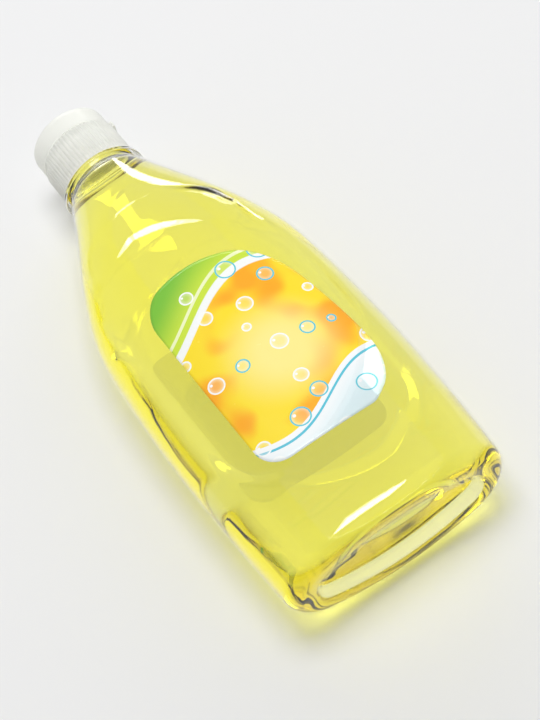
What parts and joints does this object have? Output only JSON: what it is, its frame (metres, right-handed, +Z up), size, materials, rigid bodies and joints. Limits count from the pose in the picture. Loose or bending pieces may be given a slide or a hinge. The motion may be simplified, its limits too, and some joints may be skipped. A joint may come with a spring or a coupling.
{
  "type": "dish soap bottle",
  "caption": "Clear oval squeeze bottle of yellow dish soap lying on its back, with pressed label panels, a ribbed screw cap and a hinged flip-top lid.",
  "frame": {"origin": "on the surface it lies on, under the middle of the bottle's length and width", "axes": "+Y runs from the base to the cap, +Z is up through the front label, +X is across the width, to the right seen from the base"},
  "size_m": [0.0932, 0.219, 0.046],
  "materials": {
    "clear_plastic": "clear blow-moulded PET, glossy",
    "soap": "transparent yellow liquid",
    "front_label_film": "printed glossy film",
    "back_label_film": "plain glossy film",
    "washer_foam": "soft white sealing foam",
    "cap_plastic": "milky translucent polypropylene"
  },
  "bodies": {
    "bottle": {"bottle": "clear_plastic", "dish_soap": "soap", "front_label": "front_label_film", "back_label": "back_label_film"},
    "seal": {"seal_washer": "washer_foam"},
    "cap": {"cap_base": "cap_plastic"},
    "lid": {"cap_lid": "cap_plastic"}
  },
  "joints": [
    {"name": "cap_rise", "type": "slide", "parent": "bottle", "child": "seal", "axis": [0, 1, 0], "range_m": [0, 0.0048]},
    {"name": "cap_turn", "type": "hinge", "parent": "seal", "child": "cap", "pos_m": [0, 0, 0.023], "axis": [0, 1, 0], "range_deg": [0, 540]},
    {"name": "lid_hinge", "type": "hinge", "parent": "cap", "child": "lid", "pos_m": [0.0159, 0.1002, 0.023], "axis": [0, 0, -1], "range_deg": [0, 150]}
  ],
  "couplings": [
    {"joint": "cap_rise", "follows": "cap_turn", "m_per_rad": 0.00050611}
  ]
}
